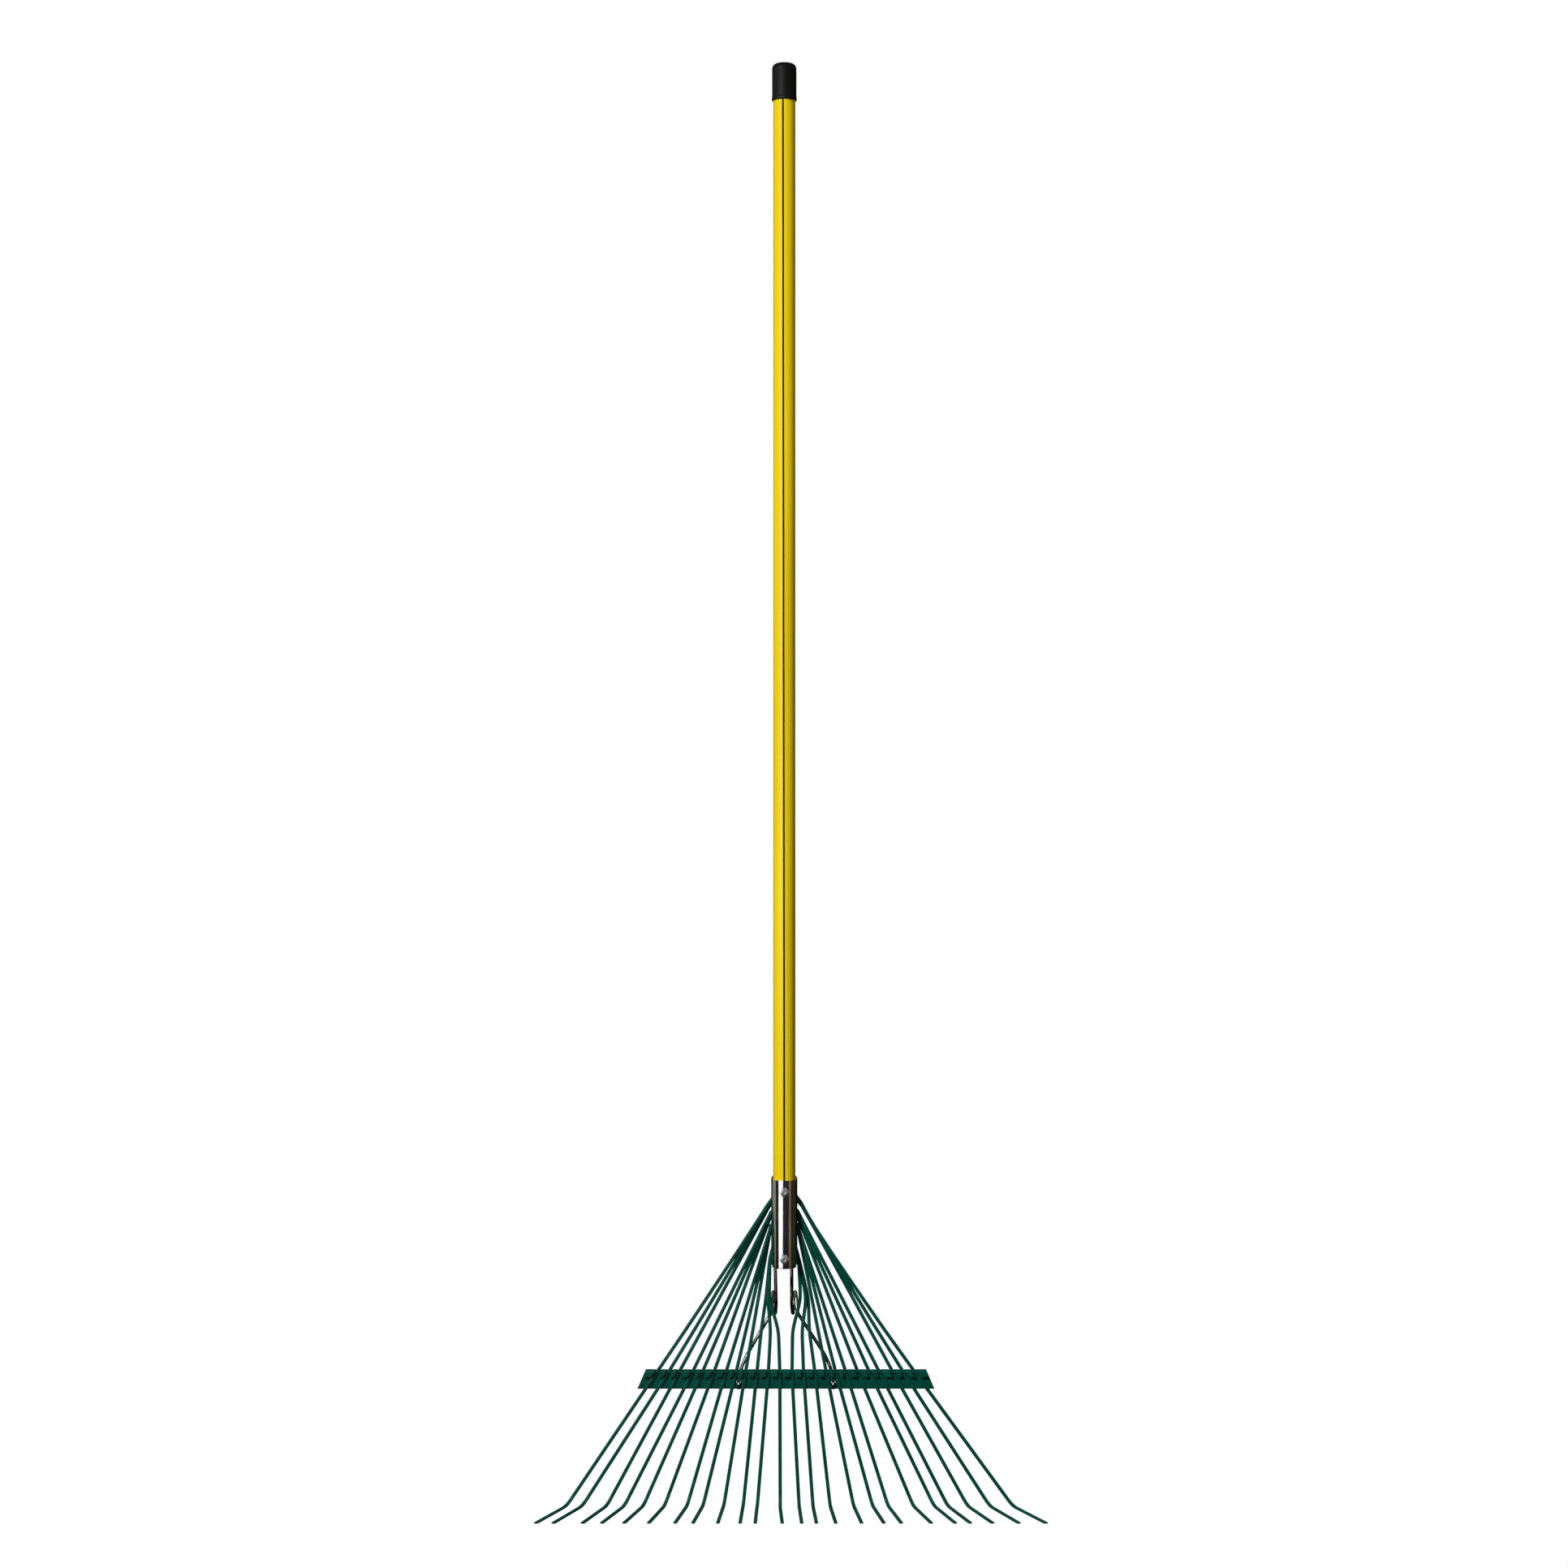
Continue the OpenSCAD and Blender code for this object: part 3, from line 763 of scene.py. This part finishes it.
class Graph:
    """Short way to write a material's node tree."""

    def __init__(self, name):
        self.material = bpy.data.materials.new(name)
        self.material.use_nodes = True
        self.tree = self.material.node_tree
        self.shader = self.tree.nodes["Principled BSDF"]

    def set(self, **values):
        for socket, value in values.items():
            self.shader.inputs[socket.replace("_", " ")].default_value = value
        return self

    def node(self, kind, **inputs):
        made = self.tree.nodes.new("ShaderNode" + kind)
        for socket, value in inputs.items():
            self.feed(made.inputs[socket.replace("_", " ")], value)
        return made

    def feed(self, socket, value):
        if isinstance(value, bpy.types.NodeSocket):
            self.tree.links.new(value, socket)
        else:
            socket.default_value = value

    def to_shader(self, socket, value):
        self.feed(self.shader.inputs[socket], value)

    def coordinates(self, stretch=(1, 1, 1)):
        place_in_object = self.node("TexCoord").outputs["Object"]
        mapping = self.node("Mapping", Vector=place_in_object)
        mapping.inputs["Scale"].default_value = stretch
        return mapping.outputs["Vector"]

    def noise(self, scale, detail=3.0, stretch=(1, 1, 1), roughness=0.5):
        texture = self.node("TexNoise", Vector=self.coordinates(stretch), Scale=scale)
        texture.inputs["Detail"].default_value = detail
        texture.inputs["Roughness"].default_value = roughness
        return texture.outputs["Fac"]

    def range(self, value, from_low, from_high, to_low, to_high):
        scaled = self.node("MapRange", Value=value)
        for socket, number in (
            ("From Min", from_low),
            ("From Max", from_high),
            ("To Min", to_low),
            ("To Max", to_high),
        ):
            scaled.inputs[socket].default_value = number
        return scaled.outputs["Result"]

    def math(self, operation, a, b=0.0):
        made = self.tree.nodes.new("ShaderNodeMath")
        made.operation = operation
        self.feed(made.inputs[0], a)
        self.feed(made.inputs[1], b)
        return made.outputs["Value"]

    def mix(self, share, a, b):
        made = self.tree.nodes.new("ShaderNodeMix")
        made.data_type = "RGBA"
        self.feed(made.inputs["Factor"], share)
        for socket, value in ((made.inputs[6], a), (made.inputs[7], b)):
            self.feed(socket, value)
        return made.outputs[2]

    def bump(self, height, strength, distance):
        made = self.node("Bump", Height=height)
        made.inputs["Strength"].default_value = strength
        made.inputs["Distance"].default_value = distance
        self.to_shader("Normal", made.outputs["Normal"])


def rgb(red, green, blue):
    """Colour given as sRGB, 0 to 255."""
    def linear(value):
        c = value / 255
        return c / 12.92 if c <= 0.04045 else ((c + 0.055) / 1.055) ** 2.4
    return (linear(red), linear(green), linear(blue), 1.0)


def fibreglass():
    g = Graph("yellow_fibreglass")
    g.set(Specular_IOR_Level=0.3, IOR=1.45)
    streaks = g.noise(90, 3, (1, 1, 0.03))
    patches = g.noise(9, 2, (1, 1, 0.25))
    yellow = g.mix(g.range(streaks, 0.3, 0.7, 0, 1), rgb(238, 205, 10), rgb(246, 218, 22))
    yellow = g.mix(g.range(patches, 0.45, 0.75, 0, 0.3), yellow, rgb(226, 186, 12))
    along = g.node("SeparateXYZ", Vector=g.node("TexCoord").outputs["Object"])
    wobble = g.range(g.noise(30, 3, (1, 1, 0.4)), 0, 1, -0.12 * MM, 0.12 * MM)
    drift = g.range(along.outputs["Z"], 0.4, 1.6, 0, 1.5 * MM)
    offset = g.math("ADD", g.math("ADD", along.outputs["X"], drift), wobble)
    offset = g.math("ABSOLUTE", offset)
    in_stripe = g.range(offset, STRIPE_HALF - 0.12 * MM, STRIPE_HALF + 0.12 * MM, 1, 0)
    in_front = g.math("LESS_THAN", along.outputs["Y"], 0.0)
    stripe = g.math("MULTIPLY", in_stripe, in_front)
    g.to_shader("Base Color", g.mix(stripe, yellow, rgb(22, 20, 14)))
    g.to_shader("Roughness", g.range(g.noise(60, 4, (1, 1, 0.05)), 0.3, 0.7, 0.24, 0.36))
    g.bump(g.noise(300, 2, (1, 1, 0.02)), 0.05, 0.03 * MM)
    return g.material


def vinyl():
    g = Graph("black_vinyl")
    g.set(IOR=1.48)
    dust = g.noise(60, 4)
    g.to_shader("Base Color", g.mix(g.range(dust, 0.45, 0.8, 0, 1), rgb(6, 6, 7), rgb(16, 16, 17)))
    g.to_shader("Roughness", g.range(g.noise(140, 3), 0.3, 0.7, 0.46, 0.6))
    g.bump(g.noise(500, 2), 0.08, 0.04 * MM)
    return g.material


def bright_plate():
    """Nickel plate over drawn steel: lengthwise drawing marks, smudges and a few pits."""
    g = Graph("bright_plate")
    g.set(Metallic=1.0)
    smudge = g.noise(70, 5, (1, 1, 0.5), 0.6)
    g.to_shader("Base Color", g.mix(
        g.range(smudge, 0.35, 0.7, 0, 1), rgb(232, 230, 226), rgb(196, 190, 182)))
    g.to_shader("Roughness", g.range(g.noise(160, 5, (1, 1, 0.25), 0.65), 0.3, 0.75, 0.05, 0.2))
    marks = g.noise(1500, 2, (1, 1, 0.012))
    dents = g.noise(140, 3)
    g.bump(g.math("ADD", marks, g.math("MULTIPLY", dents, 2.0)), 0.05, 0.04 * MM)
    return g.material


def zinc():
    g = Graph("zinc_steel")
    g.set(Metallic=0.78)
    tone = g.noise(300, 4)
    g.to_shader("Base Color", g.mix(
        g.range(tone, 0.35, 0.7, 0, 1), rgb(232, 236, 238), rgb(196, 200, 206)))
    g.to_shader("Roughness", g.range(g.noise(500, 3), 0.3, 0.7, 0.14, 0.26))
    g.bump(g.noise(700, 2), 0.06, 0.03 * MM)
    return g.material


def green_paint():
    """Semi-gloss enamel with a little orange peel and slightly varying depth of colour."""
    g = Graph("green_paint")
    g.set(Specular_IOR_Level=0.35, IOR=1.45)
    tone = g.noise(45, 4)
    g.to_shader("Base Color", g.mix(
        g.range(tone, 0.35, 0.7, 0, 1), rgb(0, 72, 59), rgb(0, 61, 50)))
    g.to_shader("Roughness", g.range(g.noise(120, 3), 0.3, 0.7, 0.26, 0.4))
    g.bump(g.noise(420, 2), 0.12, 0.05 * MM)
    return g.material


def core_wood():
    g = Graph("core_wood")
    grain = g.noise(260, 5, (1, 1, 0.05))
    g.to_shader("Base Color", g.mix(
        g.range(grain, 0.35, 0.7, 0, 1), rgb(214, 180, 130), rgb(176, 136, 88)))
    g.set(Roughness=0.7)
    return g.material


# ---- the object ----

yellow = fibreglass()
plate = bright_plate()
steel = zinc()
green = green_paint()

make_handle(yellow)
make_cap(vinyl())
make_ferrule_front(plate)
make_ferrule_rear(plate)
for fastener in ("lower", "upper"):
    make_bolt("bolt_" + fastener, steel)
    make_nut("nut_" + fastener, steel)
make_brace(plate)
make_rod(green)
for tine in TINES:
    make_tine(tine, green)
make_crossbar(green)

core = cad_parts["handle_core"]
core.data.materials.clear()
core.data.materials.append(core_wood())


# ---- stage, light and camera ----

def glowing(name, colour, strength):
    g = Graph(name)
    g.set(Base_Color=(0, 0, 0, 1), Roughness=1.0)
    g.set(Emission_Color=colour, Emission_Strength=strength)
    return g.material


def make_floor():
    bpy.ops.mesh.primitive_plane_add(size=60, location=(0, 0, -0.5 * MM))
    floor = bpy.context.object
    floor.name = "floor"
    g = Graph("pale_floor")
    g.set(Base_Color=(0, 0, 0, 1), Specular_IOR_Level=0.0, Emission_Color=rgb(255, 255, 255))
    seen = g.node("LightPath").outputs["Is Camera Ray"]
    g.to_shader("Emission Strength", g.math("MULTIPLY", seen, 1.0))
    floor.data.materials.append(g.material)


def make_card(name, start, stop, colour, strength, low=0.0, high=2.3, radius=1.7):
    """Curved card around the object that only reflections see. Azimuth 0 is -Y, 90 is +X."""
    steps = 12
    points = []
    for k in range(steps + 1):
        a = math.radians(start + (stop - start) * k / steps)
        x = radius * math.sin(a)
        y = -radius * math.cos(a)
        points += [(x, y, low), (x, y, high)]
    faces = [(2 * k, 2 * k + 1, 2 * k + 3, 2 * k + 2) for k in range(steps)]
    mesh = bpy.data.meshes.new(name)
    mesh.from_pydata(points, [], faces)
    mesh.materials.append(glowing(name, colour, strength))
    card = bpy.data.objects.new(name, mesh)
    scene.collection.objects.link(card)
    card.visible_camera = False
    card.visible_diffuse = False
    card.visible_shadow = False
    card.visible_transmission = False


def area_light(name, location, target, size_x, size_y, power, colour=(1, 1, 1)):
    data = bpy.data.lights.new(name, "AREA")
    data.shape = "RECTANGLE"
    data.size = size_x
    data.size_y = size_y
    data.energy = power
    data.color = colour
    light = bpy.data.objects.new(name, data)
    light.location = location
    aim = Vector(target) - Vector(location)
    light.rotation_euler = aim.to_track_quat("-Z", "Y").to_euler()
    scene.collection.objects.link(light)
    light.visible_glossy = False
    return light


def sun_light(name, towards, strength):
    data = bpy.data.lights.new(name, "SUN")
    data.angle = math.radians(9)
    data.energy = strength
    light = bpy.data.objects.new(name, data)
    light.rotation_euler = (-Vector(towards)).to_track_quat("-Z", "Y").to_euler()
    scene.collection.objects.link(light)
    light.visible_glossy = False
    return light


def make_world():
    """White where the camera looks past the object, and a dim grey surround for light."""
    world = bpy.data.worlds.new("studio")
    world.use_nodes = True
    tree = world.node_tree
    seen = tree.nodes["Background"]
    seen.inputs["Color"].default_value = (1, 1, 1, 1)
    seen.inputs["Strength"].default_value = 1.05
    around = tree.nodes.new("ShaderNodeBackground")
    around.inputs["Color"].default_value = (0.9, 0.95, 1.0, 1)
    around.inputs["Strength"].default_value = 0.1
    path = tree.nodes.new("ShaderNodeLightPath")
    choice = tree.nodes.new("ShaderNodeMixShader")
    tree.links.new(path.outputs["Is Camera Ray"], choice.inputs["Fac"])
    tree.links.new(around.outputs["Background"], choice.inputs[1])
    tree.links.new(seen.outputs["Background"], choice.inputs[2])
    output = tree.nodes["World Output"]
    tree.links.new(choice.outputs["Shader"], output.inputs["Surface"])
    scene.world = world


def make_camera():
    data = bpy.data.cameras.new("camera")
    data.lens = 67.8
    data.sensor_width = 36
    data.clip_start = 0.05
    data.clip_end = 100
    camera = bpy.data.objects.new("camera", data)
    camera.location = (-0.3 * MM, -3.36, 0.8286)
    camera.rotation_euler = (math.pi / 2, 0, 0)
    scene.collection.objects.link(camera)
    scene.camera = camera


make_world()
make_floor()
make_card("card_left_back", -150, -89, rgb(196, 190, 180), 0.5)
make_card("card_left_dark", -89, -54, rgb(38, 32, 28), 1.0)
make_card("card_key", -54, -15, rgb(255, 255, 255), 2.2)
make_card("card_front", -15, 46, rgb(44, 50, 60), 0.8)
make_card("card_warm", 46, 66, rgb(150, 120, 86), 0.9)
make_card("card_right_dark", 66, 150, rgb(52, 46, 34), 0.8)
sun_light("key", (-0.62, -1.0, 0.72), 3.3)
area_light("fill", (1.7, -2.6, 1.3), (0, 0, 0.8), 0.8, 1.6, 10, (1, 0.84, 0.66))
area_light("top", (0, -0.4, 3.6), (0, 0, 0.6), 0.8, 0.8, 3)
sun_light("back", (0.5, 1.0, 0.45), 1.4)
make_camera()
scene.view_settings.view_transform = "Standard"
